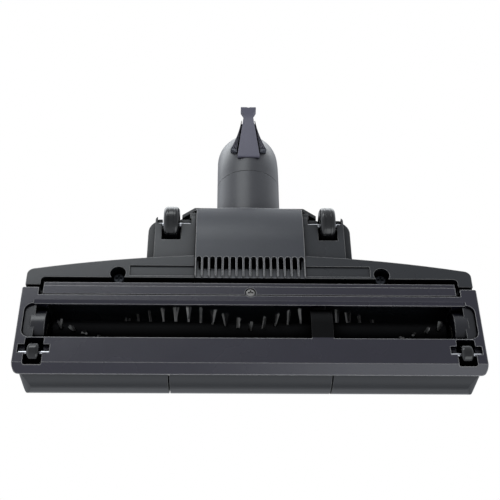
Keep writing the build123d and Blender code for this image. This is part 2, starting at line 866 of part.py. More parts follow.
def make_rear_tyre():
    half = rear_wheel_width / 2
    tyre = rod_x(0, 0, rear_wheel_radius, -half, half)
    tyre = fillet(tyre.edges().filter_by(GeomType.CIRCLE), tyre_shoulder)
    x0 = tyre_groove_x - tyre_groove_width / 2
    x1 = tyre_groove_x + tyre_groove_width / 2
    groove = rod_x(0, 0, rear_wheel_radius + cut_margin, x0, x1)
    groove -= rod_x(0, 0, rear_wheel_radius - tyre_groove_depth, x0, x1)
    tyre -= both_sides(groove)
    return tyre - rod_x(0, 0, rear_hub_radius, -half, half)


def make_front_wheel():
    half = front_wheel_width / 2
    wheel = rod_x(0, 0, front_wheel_radius, -half, half)
    wheel = fillet(wheel.edges().filter_by(GeomType.CIRCLE), front_wheel_shoulder)
    return wheel - rod_x(0, 0, front_axle_radius + running_gap, -half, half)


def make_axle(radius, length):
    pin = rod_x(0, 0, radius, -length / 2, length / 2)
    return chamfer(pin.edges().filter_by(GeomType.CIRCLE), radius / 4)


def make_neck_tube():
    """Lower neck: drum that turns in the head, tube to the swivel seam, trunnions."""
    neck = rod_x(pivot_y, pivot_z, drum_radius, -drum_half_width, drum_half_width)
    neck += rod_y(0, pivot_z, neck_radius, pivot_y, neck_seam_y)
    inside_half = drum_half_width - drum_wall
    neck -= rod_x(pivot_y, pivot_z, drum_radius - drum_wall, -inside_half, inside_half)
    neck -= rod_y(0, pivot_z, neck_bore_radius, pivot_y, neck_seam_y)
    window_half = drum_half_width - 2 * drum_wall
    neck -= block(-window_half, window_half, pivot_y - 2 * drum_radius, pivot_y - drum_radius / 3,
                  pivot_z - drum_radius * drum_window_low, pivot_z + drum_radius * drum_window_high)
    groove_half = ring_width / 2 + ring_bore_side_gap
    groove_radius = neck_bore_radius + ring_groove_depth
    neck -= rod_y(0, pivot_z, groove_radius, ring_y - groove_half, ring_y + groove_half)
    trunnion = rod_x(pivot_y, pivot_z, trunnion_radius, drum_half_width - drum_wall, trunnion_end)
    return neck + both_sides(trunnion)


def make_trunnion_cap():
    x0 = block_half_width + seam_gap
    cap = side_prism(outline(
        (pivot_y - cheek_half_depth, pivot_z, 0),
        (pivot_y + cheek_half_depth, pivot_z, 0),
        (pivot_y + cheek_half_depth, pivot_z + trunnion_radius + 2 * wall, cap_corner),
        (pivot_y - cheek_half_depth, pivot_z + trunnion_radius + 2 * wall, cap_corner),
    ), x0, x0 + cheek_width)
    return cap - rod_x(pivot_y, pivot_z, trunnion_radius + running_gap, x0, x0 + cheek_width)


def elbow_end():
    """Where the bend hands over to the straight socket."""
    start = neck_seam_y + elbow_straight
    a = radians(elbow_angle)
    return start + elbow_radius * sin(a), pivot_z + elbow_radius * (1 - cos(a))


def socket_point(distance):
    """Point on the socket axis, measured from the end of the bend."""
    y, z = elbow_end()
    a = radians(elbow_angle)
    return y + distance * cos(a), z + distance * sin(a)


def elbow_path(straight_from):
    start = (0, straight_from, pivot_z)
    bend = (0, neck_seam_y + elbow_straight, pivot_z)
    half = radians(elbow_angle / 2)
    middle = (0, bend[1] + elbow_radius * sin(half), pivot_z + elbow_radius * (1 - cos(half)))
    y, z = elbow_end()
    return Line(start, bend) + ThreePointArc(bend, middle, (0, y, z))


def along_socket(shape):
    """Place a shape built on +Z from the origin onto the socket axis."""
    y, z = elbow_end()
    return Pos(0, y, z) * Rot(elbow_angle - 90, 0, 0) * shape


def elbow_outside():
    section = Plane(origin=(0, neck_seam_y + seam_gap, pivot_z), z_dir=(0, 1, 0)) * Circle(neck_radius)
    bend = sweep(section, path=elbow_path(neck_seam_y + seam_gap))
    return bend + along_socket(rod_z(0, 0, neck_radius, 0, socket_length))


def make_swivel_elbow():
    body = elbow_outside()
    passage = socket_bore_radius - wand_stop
    flange_end = neck_seam_y + seam_gap + wall
    section = Plane(origin=(0, flange_end, pivot_z), z_dir=(0, 1, 0)) * Circle(passage)
    body -= sweep(section, path=elbow_path(flange_end))
    body -= along_socket(rod_z(0, 0, socket_bore_radius, 0, socket_length))
    spigot_start = neck_seam_y - spigot_length
    body += rod_y(0, pivot_z, spigot_radius, spigot_start, flange_end)
    groove_floor = spigot_radius - ring_groove_depth
    for y in (ring_y, seal_y):
        body -= neck_ring(y, groove_floor, far, ring_width + 2 * ring_side_gap)
    return body - rod_y(0, pivot_z, spigot_radius - spigot_wall, spigot_start, flange_end)


def neck_ring(y, inside, outside, width):
    """Ring round the neck axis."""
    ring = rod_y(0, pivot_z, outside, y - width / 2, y + width / 2)
    return ring - rod_y(0, pivot_z, inside, y - width / 2, y + width / 2)


def make_swivel_ring():
    """Snap ring in the spigot's groove, reaching into the groove of the tube's bore."""
    inside = spigot_radius - ring_groove_depth + ring_side_gap
    return neck_ring(ring_y, inside, neck_bore_radius + ring_groove_depth - ring_play, ring_width)


def make_swivel_seal():
    inside = spigot_radius - ring_groove_depth + ring_side_gap
    return neck_ring(seal_y, inside, neck_bore_radius - running_gap, ring_width)


def make_parking_hook():
    """Tapered hook under the elbow: narrow outer face, flared gussets at the root, forked tip."""
    low = pivot_z - neck_radius
    face_bottom = low - hook_step
    tip_bottom = face_bottom - hook_drop
    hollow_y = hook_shoulder - hook_hollow_back
    side = outline(
        (hook_start, pivot_z, 0),
        (hook_start, face_bottom, small_radius),
        (hook_shoulder, face_bottom - hook_drop / 2, hook_belly_radius),
        (hook_tip, tip_bottom, small_radius),
        (hook_tip, tip_bottom + hook_tip_height, small_radius),
        (hollow_y, low + hook_tip_height, hook_hollow_radius),
        (hollow_y - small_radius, pivot_z, 0),
    )
    neck_half = hook_neck_width / 2
    fork_half = hook_fork_width / 2
    face_plan = symmetric(
        (hook_root_width / 2, hook_start, small_radius),
        (neck_half, hook_shoulder, hook_neck_corner),
        (neck_half, hook_shoulder + hook_fork_run, small_radius),
        (fork_half, hook_tip - hook_fork_run, small_radius),
        (fork_half, hook_tip, small_radius),
    )
    flare = plan_prism(flare_plan(), low + hook_flare_rise, pivot_z)
    groove = plan_prism(offset(face_plan, hook_groove), 0, low + hook_groove_depth)
    hook = (flare - groove + plan_prism(face_plan, 0, pivot_z)) & side_prism(side, -far, far)
    hook -= rod_z(0, hook_tip + hook_notch / 4, hook_notch / 2, 0, pivot_z)
    return hook - elbow_outside()


def flare_plan():
    """Plan of the hook's gussets: wide at the root and drawn in to the neck in a hollow curve."""
    root_half = hook_flare_width / 2
    end_half = hook_neck_width / 2 + hook_flare_neck
    root_y = hook_start + hook_flare_setback
    waist = (end_half + (root_half - end_half) * hook_flare_waist, (root_y + hook_shoulder) / 2)
    right = ThreePointArc((root_half, root_y), waist, (end_half, hook_shoulder))
    left = ThreePointArc((-end_half, hook_shoulder), (-waist[0], waist[1]), (-root_half, root_y))
    edges = right + Line((end_half, hook_shoulder), (-end_half, hook_shoulder)) + left
    edges += Polyline((-root_half, root_y), (0, hook_start), (root_half, root_y))
    return make_face(edges)


def cover_plan():
    """Plan of the covers, with rounded front corners."""
    plan = tray_plan(cover_half_width, -front_bulge, cover_corner)
    return fillet(plan.vertices().group_by(Axis.Y)[0], cover_corner)


def wing_solid(inset):
    """Low full-width part of the cover, as a solid."""
    half = cover_half_width
    section = outline(
        (bumper_foot_y, -deep, 0),
        (bumper_foot_y, cover_bottom + bumper_foot_rise, bumper_foot_radius),
        (-front_bulge, cover_bottom + bumper_rise, bumper_radius),
        (brow_y, wing_top - brow_drop, brow_radius),
        (wing_crest_y, wing_top, wing_crest_radius),
        (tray_end + wing_rear_lap, wing_rear_top, 0),
        (tray_end + wing_rear_lap, -deep, 0),
    )
    across = symmetric(
        (half, -deep - cut_margin, 0),
        (half - wing_side_lean, wing_top + cut_margin, wing_side_radius),
    )
    solid = side_prism(shrink(section, inset), -far, far)
    solid = solid & front_prism(shrink(across, inset), -far, far)
    return solid & plan_prism(shrink(cover_plan(), inset), -far, far)


def hump_solid(inset):
    """Raised middle of the cover, as a solid."""
    knee = pivot_z - hump_rear_drop
    section = outline(
        (hump_front_y, -deep, 0),
        (hump_front_y, hump_front_top, hump_front_radius),
        (hump_brow_y, hump_top, hump_brow_radius),
        (hump_end, hump_top, hump_wrap - small_radius),
        (hump_end, knee, hump_front_radius),
        (hump_end - (knee + deep) * tan(radians(hump_rear_lean)), -deep, 0),
    )
    shoulder = hump_half_width - hump_shoulder_in
    across = outline(
        (hump_half_width, -deep - cut_margin, 0),
        (hump_half_width, hump_side_height, hump_side_radius),
        (shoulder, hump_top - hump_crown, hump_shoulder_radius),
        (0, hump_top + hump_crown, hump_crown_radius),
        (-shoulder, hump_top - hump_crown, hump_shoulder_radius),
        (-hump_half_width, hump_side_height, hump_side_radius),
        (-hump_half_width, -deep - cut_margin, 0),
    )
    solid = side_prism(shrink(section, inset), -far, far)
    solid = solid & front_prism(shrink(across, inset), -far, far)
    solid = solid & plan_prism(hump_plan(inset), -far, far)
    corner = hump_corner(inset)
    return solid & corner & mirrored(corner)


def hump_corner(inset):
    """Half-space inside the leaning face under the rear corner of the hump at +X."""
    run = hump_half_width - hump_end_half_width
    heading = degrees(atan2(hump_end - hump_straight_end, run))
    lean = tan(radians(hump_corner_lean))
    face = outline(
        (-far, -deep - 2 * cut_margin, 0),
        (-(hump_corner_knee + deep) * lean, -deep - 2 * cut_margin, 0),
        ((far - hump_corner_knee) * lean, far, 0),
        (-far, far, 0),
    )
    place = Pos(hump_half_width, hump_straight_end, 0) * Rot(0, 0, -heading)
    return place * side_prism(shrink(face, inset), -far, far)


def make_covers():
    """Three thin top covers: centre with the hump, left and right."""
    shell = (wing_solid(0) + hump_solid(0)) - (wing_solid(wall) + hump_solid(wall))
    step = rear_edge(carriage_outer)
    above = block(-far, far, -far, step, cover_bottom, far)
    above += block(-far, far, step, far, flange_top + seam_gap, far)
    shell = shell & above
    slot_half = neck_radius + neck_slot_gap
    shell -= block(-slot_half, slot_half, pivot_y - neck_radius - 2 * joint_gap, far, 0, far)
    arch_half = rear_wheel_width / 2 + rear_pocket_side_gap
    wheel_arch = block(rear_wheel_x - arch_half, rear_wheel_x + arch_half, rear_pocket_front, far,
                       0, rear_wheel_radius * 2 + 2 * joint_gap)
    shell -= both_sides(wheel_arch)
    middle_plan = symmetric(
        (cover_seam_x, -deep, 0),
        (cover_seam_x, cover_seam_kink_y, 0),
        (hump_half_width + wall, hump_flare_y, 0),
        (hump_half_width + wall, far, 0),
    )
    middle = plan_prism(middle_plan, -far, far)
    gap = plan_prism(offset(middle_plan, cover_seam_gap), -far, far)
    centre = shell & middle
    right = (shell - gap) & block(0, far, -far, far, -far, far)
    boss_bottom = housing_screw_seat() + wall
    boss = rod_z(screw_x, screw_y, housing_screw_shank + wall, boss_bottom, far) & wing_solid(wall / 2)
    boss -= rod_z(screw_x, screw_y, housing_screw_shank + fastener_gap, 0,
                  housing_screw_seat() + housing_screw_length + cut_margin)
    right += boss
    return centre, right


def middle_of_head():
    """Station halfway between the bumper and the rear rim of the socket."""
    y, _ = socket_point(socket_length)
    rear = y + neck_radius * sin(radians(elbow_angle))
    return (rear - front_bulge) / 2


middle_y = middle_of_head()


def save(name, shape):
    """Write one node, shifted so that the head stands over the origin."""
    solids = shape if isinstance(shape, list) else shape.solids()
    placed = [Pos(0, -middle_y, 0) * solid for solid in solids]
    export_step(placed[0] if len(placed) == 1 else Compound(placed), f"parts/{name}.step")


def save_pair(name, shape):
    """Write a node at +X as left and its mirror image as right."""
    save(f"{name}_left", shape)
    save(f"{name}_right", mirrored(shape))


def main():
    os.makedirs("parts", exist_ok=True)
    save("sole_frame", make_sole_frame())
    save("sole_screw", make_sole_screw())
    save("housing_screws", make_housing_screws())
    save("base_housing", make_base_housing())
    save("turbine_cover", make_turbine_cover())
    centre, side = make_covers()
    save("top_cover_center", centre)
    save_pair("top_cover", side)
    save_pair("roller_end_block", make_end_block())
    save_pair("roller_bush", make_roller_bush())
    tufts = make_tufts()
    save("bristle_tufts", tufts)
    save("roller_core", make_roller_core(tufts))
    save("roller_pulley", make_pulley(roller_y, roller_z, roller_pulley_radius, journal_radius * 2, belt_x))
    save("drive_belt", make_belt())
    save("turbine_wheel", make_turbine_wheel())
    save("turbine_shaft", make_turbine_shaft())
    save("turbine_pinion", make_pulley(turbine_y, turbine_z, pinion_radius, turbine_shaft_radius, belt_x))
    save_pair("turbine_bearing", make_turbine_bearing())
    save("turbine_shroud", make_turbine_shroud())
    rear_place = Pos(rear_wheel_x, rear_wheel_y, rear_wheel_radius)
    save_pair("rear_wheel_hub", rear_place * make_rear_hub())
    save_pair("rear_wheel_tyre", rear_place * make_rear_tyre())
    axle_place = Pos(rear_axle_x, rear_wheel_y, rear_wheel_radius)
    save_pair("rear_axle", axle_place * make_axle(rear_axle_radius, rear_axle_length))
    front_place = Pos(front_wheel_x, front_wheel_y, front_wheel_radius)
    save_pair("front_wheel", front_place * make_front_wheel())
    save_pair("front_axle", front_place * make_axle(front_axle_radius, front_axle_length))
    save("neck_tube", make_neck_tube())
    save_pair("trunnion_cap", make_trunnion_cap())
    save("swivel_elbow", make_swivel_elbow())
    save("swivel_ring", make_swivel_ring())
    save("swivel_seal", make_swivel_seal())
    save("parking_hook", make_parking_hook())


main()
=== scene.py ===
"""Looks of the turbine floor brush head: finishes, hook ribs, bristles, camera and studio."""

import json
import math
import random

import bmesh
import bpy
from mathutils import Matrix, Vector


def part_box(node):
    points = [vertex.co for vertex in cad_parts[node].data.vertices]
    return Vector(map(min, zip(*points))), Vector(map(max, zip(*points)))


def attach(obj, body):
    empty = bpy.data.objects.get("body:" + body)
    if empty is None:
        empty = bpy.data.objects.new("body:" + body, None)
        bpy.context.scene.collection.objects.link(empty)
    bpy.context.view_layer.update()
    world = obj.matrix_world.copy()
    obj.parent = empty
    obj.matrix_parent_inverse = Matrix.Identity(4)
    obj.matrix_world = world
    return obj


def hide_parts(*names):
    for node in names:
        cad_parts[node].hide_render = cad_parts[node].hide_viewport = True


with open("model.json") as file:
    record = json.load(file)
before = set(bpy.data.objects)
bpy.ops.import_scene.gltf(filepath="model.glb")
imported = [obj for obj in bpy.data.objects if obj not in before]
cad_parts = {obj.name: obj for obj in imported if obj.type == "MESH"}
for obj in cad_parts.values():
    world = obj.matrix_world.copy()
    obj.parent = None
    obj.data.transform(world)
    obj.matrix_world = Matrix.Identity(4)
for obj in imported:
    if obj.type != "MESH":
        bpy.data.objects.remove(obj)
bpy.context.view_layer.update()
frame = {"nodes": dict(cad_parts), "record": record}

MM = 0.001
nodes = frame["nodes"]

# How finely the shaders look round a point for hard edges and recesses
EDGE_SAMPLES = 6
RECESS_SAMPLES = 6

# Moulded plastic: openness of a face from full to no painted shade, and what the painted shade leaves of
# colour and reflection
RECESS_WIDTH = 14 * MM
DEEP_SHADE, NO_SHADE = 0.3, 0.95
PAINTED_SHADE_LEAVES = 0.08

# Painted edge highlight: agreement of rounded and true normals from full highlight to none, and openness
# that the highlight needs
FULL_HIGHLIGHT, NO_HIGHLIGHT = 0.9, 0.999
SHELTERED, EXPOSED = 0.7, 0.9

# Belt guard: how far past the belt and the roller its strap is painted near-black as painted shade
GUARD_REACH = 4 * MM

# Hook ribs
RIBS_PER_SIDE = 4
RIB_STEPS = 12
RIB_HALF_SHARE = 0.25
RIB_HEIGHT = 0.5 * MM
RIB_ROOT = 0.2 * MM
RIB_START = 0.6 * MM
RIB_END = 1.5 * MM
SAME_LEVEL = 0.05 * MM
FACING_DOWN = -0.999

# Bristles
SAME_POINT = 0.001 * MM
CLUMPS_PER_TUFT = 3
FILAMENTS_PER_CLUMP = 26
FILAMENT_RADIUS = 0.08 * MM
FILAMENT_TAPER = 0.45
FILAMENT_RINGS = 4
FILAMENT_SIDES = 4
ROOT_DEPTH = 0.6 * MM
CLUMP_ROOT_SPREAD = 0.7 * MM
CLUMP_TIP_SPREAD = 1.8 * MM
CLUMP_LEAN = 1.0 * MM
BUNDLE_AT_ROOT = 0.5 * MM
BUNDLE_AT_TIP = 0.7 * MM
SHORTEST_TRIM, LONGEST_TRIM = 0.1 * MM, 1.2 * MM
SAG_SPREAD = 0.3 * MM
DARKEST_IN_CLUMP = 0.6
BRISTLE_SEED = 11

# Camera, with its place along Y measured from the sole's front lip
CAMERA_SENSOR = 36.0
CAMERA_LENS = 70.56
CAMERA_FORWARD = Vector((-0.02519, 0.59018, 0.80688))
CAMERA_UP = Vector((0.00794, 0.80722, -0.59019))
CAMERA_X, CAMERA_FROM_LIP, CAMERA_Z = 0.01565, -0.27842, -0.49572

# Studio: level of the surround from straight below (0) to straight above (1), and its strength at -X and +X
SURROUND = (
    (0.0, 0.5), (0.12, 0.6), (0.36, 0.75), (0.5, 1.0), (0.75, 0.9), (0.86, 0.35), (0.93, 0.2), (1.0, 0.6))
SURROUND_LEFT, SURROUND_RIGHT = 1.0, 1.7
SURROUND_TINT = (0.95, 0.99, 1.05)
FILL_LEVEL = 0.25
LAMP_COLOUR = (0.95, 0.99, 1.0)
FLOOR_HALF = 3.0
FLOOR_LEVEL = 0.86
FLOOR_FADE_START, FLOOR_FADE_END = 0.3, 1.2


# Shader nodes, for a material or the world

def add_node(owner, kind, **inputs):
    """A shader node of that kind, with values set on its inputs by name."""
    node = owner.node_tree.nodes.new(kind)
    for name, value in inputs.items():
        node.inputs[name].default_value = value
    return node


def link(owner, source, target):
    owner.node_tree.links.new(source, target)


def ramp(owner, value, stops):
    """Colour that follows a value from 0 to 1 through the given (place, colour) stops."""
    node = add_node(owner, "ShaderNodeValToRGB")
    link(owner, value, node.inputs["Fac"])
    elements = node.color_ramp.elements
    elements[0].position, elements[0].color = stops[0]
    elements[1].position, elements[1].color = stops[-1]
    for place, colour in stops[1:-1]:
        elements.new(place).color = colour
    return node.outputs["Color"]


def map_range(owner, value, start, end, low=0.0, high=1.0, interpolation="LINEAR"):
    """A value carried over from the range start to end to the range low to high."""
    ranges = {"From Min": start, "From Max": end, "To Min": low, "To Max": high}
    node = add_node(owner, "ShaderNodeMapRange", **ranges)
    node.interpolation_type = interpolation
    link(owner, value, node.inputs["Value"])
    return node.outputs["Result"]


def combine(owner, operation, first, second, clamp=False):
    """The result of a Math node on two values."""
    node = add_node(owner, "ShaderNodeMath")
    node.operation = operation
    node.use_clamp = clamp
    link(owner, first, node.inputs[0])
    link(owner, second, node.inputs[1])
    return node.outputs[0]


def mix_shaders(owner, share, first, second):
    """The first shader where share is 0, the second where it is 1."""
    node = add_node(owner, "ShaderNodeMixShader")
    link(owner, share, node.inputs["Fac"])
    link(owner, first.outputs[0], node.inputs[1])
    link(owner, second.outputs[0], node.inputs[2])
    return node


# Colours

def linear(red, green, blue):
    """An 8-bit screen colour as the linear colour that shaders take."""
    def one(value):
        value = value / 255
        return value / 12.92 if value <= 0.04045 else ((value + 0.055) / 1.055) ** 2.4
    return one(red), one(green), one(blue), 1.0


def scaled(colour, factor):
    return tuple(min(1.0, part * factor) for part in colour[:3]) + (1.0,)


def grey(value):
    return value, value, value, 1.0


def cool(value):
    """The slightly blue light of the surround, at that level."""
    return tuple(value * part for part in SURROUND_TINT) + (1.0,)


# Materials

def new_material(name):
    """A node material and its principled shader."""
    material = bpy.data.materials.new(name)
    material.use_nodes = True
    return material, material.node_tree.nodes["Principled BSDF"]


def noise(material, size, detail, rough):
    """Noise whose features are about that many metres across, in the part's own frame."""
    place = add_node(material, "ShaderNodeTexCoord")
    node = add_node(material, "ShaderNodeTexNoise", Scale=1 / size, Detail=detail, Roughness=rough)
    link(material, place.outputs["Object"], node.inputs["Vector"])
    return node.outputs["Fac"]


def rounded_edges(material, radius):
    """Normals that shade hard edges as if rounded by that radius, in metres."""
    rounded = add_node(material, "ShaderNodeBevel", Radius=radius)
    rounded.samples = EDGE_SAMPLES
    return rounded.outputs["Normal"]


def bump(material, shader, height, strength, depth, normal):
    """Grain of that depth, over the given normals."""
    node = add_node(material, "ShaderNodeBump", Strength=strength, Distance=depth)
    link(material, normal, node.inputs["Normal"])
    link(material, height, node.inputs["Height"])
    link(material, node.outputs["Normal"], shader.inputs["Normal"])


def layered(material, kind, base, layer):
    """Two colours laid over each other in full, in the given way."""
    mix = add_node(material, "ShaderNodeMix")
    mix.data_type = "RGBA"
    mix.blend_type = kind
    mix.inputs["Factor"].default_value = 1.0
    link(material, base, mix.inputs[6])
    link(material, layer, mix.inputs[7])
    return mix.outputs[2]


def painted_edge_highlight(material, normal, opened, level):
    """Painted highlight of that level on open hard edges, where the rounded normal leaves the face's own,
    else black.
    """
    geometry = add_node(material, "ShaderNodeNewGeometry")
    agree = add_node(material, "ShaderNodeVectorMath")
    agree.operation = "DOT_PRODUCT"
    link(material, normal, agree.inputs[0])
    link(material, geometry.outputs["Normal"], agree.inputs[1])
    turned = ramp(material, agree.outputs["Value"], [(FULL_HIGHLIGHT, grey(level)), (NO_HIGHLIGHT, grey(0.0))])
    outer = ramp(material, opened, [(SHELTERED, grey(0.0)), (EXPOSED, grey(1.0))])
    return layered(material, "MULTIPLY", turned, outer)


def openness(material, distance):
    """1 on open faces, towards 0 in recesses narrower than that distance, in metres."""
    node = add_node(material, "ShaderNodeAmbientOcclusion", Distance=distance)
    node.samples = RECESS_SAMPLES
    return node.outputs["AO"]


def painted_recess_shade(material, opened, level):
    """Grey of that level on open faces, darkened in recesses as painted shade to a small share of it."""
    return ramp(material, opened, [(DEEP_SHADE, grey(level * PAINTED_SHADE_LEAVES)), (NO_SHADE, grey(level))])


def moulded_plastic(name, colour, gloss, relief=0.25, edge=0.4 * MM, specular=0.5, highlight_level=0.06):
    """Moulded plastic with a fine grain, faint clouding, rubbed patches, painted highlights on hard edges
    and painted shade in recesses.
    """
    material, shader = new_material(name)
    clouds = noise(material, size=22 * MM, detail=4.0, rough=0.6)
    tint = ramp(material, clouds, [(0.25, scaled(colour, 0.9)), (0.75, scaled(colour, 1.1))])
    speckle = noise(material, size=1.1 * MM, detail=3.0, rough=0.7)
    dots = ramp(material, speckle, [(0.35, grey(0.9)), (0.7, grey(1.0))])
    normal = rounded_edges(material, edge)
    opened = openness(material, RECESS_WIDTH)
    # Painted highlight: open hard edges lightened in colour
    with_edge_highlight = layered(material, "ADD", layered(material, "MULTIPLY", tint, dots),
                   painted_edge_highlight(material, normal, opened, highlight_level))
    # Painted shade: colour darkened in recesses, on top of the shade the renderer casts
    recess_shade = painted_recess_shade(material, opened, 1.0)
    link(material, layered(material, "MULTIPLY", with_edge_highlight, recess_shade), shader.inputs["Base Color"])
    reflected = shader.inputs["Specular IOR Level"]
    reflected.default_value = specular
    # Painted shade: reflection dimmed in recesses
    link(material, painted_recess_shade(material, opened, specular), reflected)
    rubbed = noise(material, size=30 * MM, detail=3.0, rough=0.5)
    shine = ramp(material, rubbed, [(0.3, grey(gloss - 0.02)), (0.7, grey(gloss + 0.03))])
    link(material, shine, shader.inputs["Roughness"])
    grain = noise(material, size=0.45 * MM, detail=2.0, rough=0.6)
    bump(material, shader, grain, strength=relief, depth=0.06 * MM, normal=normal)
    return material


def rubber(name, colour, gloss):
    """Black rubber with a fine bloom."""
    material, shader = new_material(name)
    bloom = noise(material, size=4 * MM, detail=4.0, rough=0.6)
    tint = ramp(material, bloom, [(0.3, scaled(colour, 0.85)), (0.75, scaled(colour, 1.2))])
    link(material, tint, shader.inputs["Base Color"])
    shine = ramp(material, bloom, [(0.3, grey(gloss)), (0.7, grey(gloss + 0.12))])
    link(material, shine, shader.inputs["Roughness"])
    grain = noise(material, size=0.5 * MM, detail=2.0, rough=0.5)
    normal = rounded_edges(material, 0.3 * MM)
    bump(material, shader, grain, strength=0.15, depth=0.05 * MM, normal=normal)
    return material


def steel(name, colour, gloss):
    """Plated steel with faint drawing marks along X."""
    material, shader = new_material(name)
    place = add_node(material, "ShaderNodeTexCoord")
    stretch = add_node(material, "ShaderNodeMapping", Scale=(1.0, 12.0, 12.0))
    marks = add_node(material, "ShaderNodeTexNoise", Scale=400.0, Detail=3.0, Roughness=0.6)
    link(material, place.outputs["Object"], stretch.inputs["Vector"])
    link(material, stretch.outputs["Vector"], marks.inputs["Vector"])
    tint = ramp(material, marks.outputs["Fac"], [(0.3, scaled(colour, 0.8)), (0.7, colour)])
    link(material, tint, shader.inputs["Base Color"])
    shine = ramp(material, marks.outputs["Fac"], [(0.3, grey(gloss)), (0.7, grey(gloss + 0.15))])
    link(material, shine, shader.inputs["Roughness"])
    shader.inputs["Metallic"].default_value = 1.0
    return material


def nylon(name, colour):
    """Bristle nylon, from nearly black to pale by the tone that each filament carries: tone that varies at
    random, with the pale strands as painted highlights of lit filaments.
    """
    material, shader = new_material(name)
    strand = add_node(material, "ShaderNodeAttribute")
    strand.attribute_name = "strand"
    tint = ramp(material, strand.outputs["Fac"], [(0.2, scaled(colour, 0.04)), (1.0, scaled(colour, 2.8))])
    link(material, tint, shader.inputs["Base Color"])
    shader.inputs["Roughness"].default_value = 0.35
    return material


FINISHES = {
    "sole_plastic": moulded_plastic(
        "sole_finish", linear(39, 37, 53), gloss=0.26, edge=0.8 * MM, highlight_level=0.55),
    "base_plastic": moulded_plastic(
        "base_finish", linear(37, 40, 45), gloss=0.28, edge=0.7 * MM, highlight_level=0.4),
    "block_plastic": moulded_plastic(
        "block_finish", linear(60, 63, 71), gloss=0.32, edge=0.6 * MM, highlight_level=0.85),
    "cover_plastic": moulded_plastic(
        "cover_finish", linear(24, 26, 30), gloss=0.3, edge=0.6 * MM, highlight_level=0.12),
    "end_block_plastic": moulded_plastic(
        "end_block_finish", linear(22, 22, 30), gloss=0.26, edge=0.8 * MM, highlight_level=0.3),
    # Dark plastic, with colour and reflection turned down further as painted shade inside the suction mouth
    "inner_plastic": moulded_plastic("inner_finish", linear(5, 5, 6), gloss=0.7, specular=0.08),
    "bush_plastic": moulded_plastic("bush_finish", linear(150, 146, 136), gloss=0.4),
    "neck_plastic": moulded_plastic("neck_finish", linear(73, 74, 79), gloss=0.36),
    "hook_plastic": moulded_plastic("hook_finish", linear(114, 113, 131), gloss=0.4),
    "wheel_plastic": moulded_plastic(
        "wheel_finish", linear(7, 7, 9), gloss=0.12, relief=0.04, edge=0.6 * MM),
    "tyre_rubber": rubber("tyre_finish", linear(9, 9, 11), gloss=0.14),
    "belt_rubber": rubber("belt_finish", linear(20, 19, 19), gloss=0.5),
    "axle_steel": steel("axle_finish", linear(205, 206, 210), gloss=0.2),
    "screw_steel": steel("screw_finish", linear(128, 126, 124), gloss=0.3),
    "dark_screw_steel": steel("dark_screw_finish", linear(60, 62, 66), gloss=0.4),
    "bristle_nylon": nylon("bristle_finish", linear(185, 185, 190)),
}
# Painted shade: near-black with dimmed reflection for the belt guard's strap
GUARD_SHADE = moulded_plastic("guard_painted_shade", linear(4, 4, 5), gloss=0.5, specular=0.08)
GUSSET = moulded_plastic("gusset_finish", linear(84, 88, 102), gloss=0.36)


def finish_nodes():
    """Gives each CAD node the finish of its material slot."""
    for piece in frame["record"]["subparts"]:
        materials = nodes[piece["node"]].data.materials
        materials.clear()
        materials.append(FINISHES[piece["material_slot"]])


def paint_shade_on_belt_guard():
    """Paints the strap that crosses the suction mouth over the belt near-black, as painted shade."""
    belt_low, belt_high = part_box("drive_belt")
    roller_low, roller_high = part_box("roller_core")
    data = nodes["sole_frame"].data
    data.materials.append(GUARD_SHADE)
    for polygon in data.polygons:
        beside_belt = belt_low.x - GUARD_REACH < polygon.center.x < belt_high.x + GUARD_REACH
        in_mouth = roller_low.y - GUARD_REACH < polygon.center.y < roller_high.y + GUARD_REACH
        if beside_belt and in_mouth:
            polygon.material_index = 1


# Added pieces

def skin(mesh, rings):
    """Closes a row of rings of as many points each into one solid with flat ends."""
    mesh.faces.new(rings[0][::-1])
    for last, ring in zip(rings, rings[1:]):
        for corner in range(len(ring)):
            after = (corner + 1) % len(ring)
            mesh.faces.new((last[corner], last[after], ring[after], ring[corner]))
    mesh.faces.new(rings[-1])


def new_piece(name, mesh, finish):
    """An object of that name and finish from a finished bmesh."""
    data = bpy.data.meshes.new(name)
    mesh.to_mesh(data)
    mesh.free()
    data.materials.append(finish)
    piece = bpy.data.objects.new(name, data)
    bpy.context.scene.collection.objects.link(piece)
    return piece


# Hook ribs

def gusset_faces(data):
    """The flat undersides of the hook's two gussets, found as the level of its widest downward face."""
    down = [polygon for polygon in data.polygons if polygon.normal.z < FACING_DOWN]
    widest = max(down, key=lambda polygon: abs(polygon.center.x))
    return [polygon for polygon in down if abs(polygon.center.z - widest.center.z) < SAME_LEVEL]


def span_at(data, faces, side, y):
    """Inner and outer distance from the middle plane of one side's faces, where they cross that y."""
    cuts = []
    for polygon in faces:
        corners = [data.vertices[index].co for index in polygon.vertices]
        for start, end in zip(corners, corners[1:] + corners[:1]):
            if (start.y - y) * (end.y - y) < 0:
                share = (y - start.y) / (end.y - start.y)
                cuts.append(side * (start.x + (end.x - start.x) * share))
    on_side = [cut for cut in cuts if cut > 0]
    return min(on_side), max(on_side)


def rib_ring(mesh, side, span, rib, y, level):
    """The four corners of one rib at that y, sunk a little into the gusset's underside."""
    inner, outer = span
    pitch = (outer - inner) / RIBS_PER_SIDE
    middle = inner + pitch * (rib + 0.5)
    half = pitch * RIB_HALF_SHARE
    profile = ((-half, RIB_ROOT), (half, RIB_ROOT), (half, -RIB_HEIGHT), (-half, -RIB_HEIGHT))
    return [mesh.verts.new((side * (middle + across), y, level + rise)) for across, rise in profile]


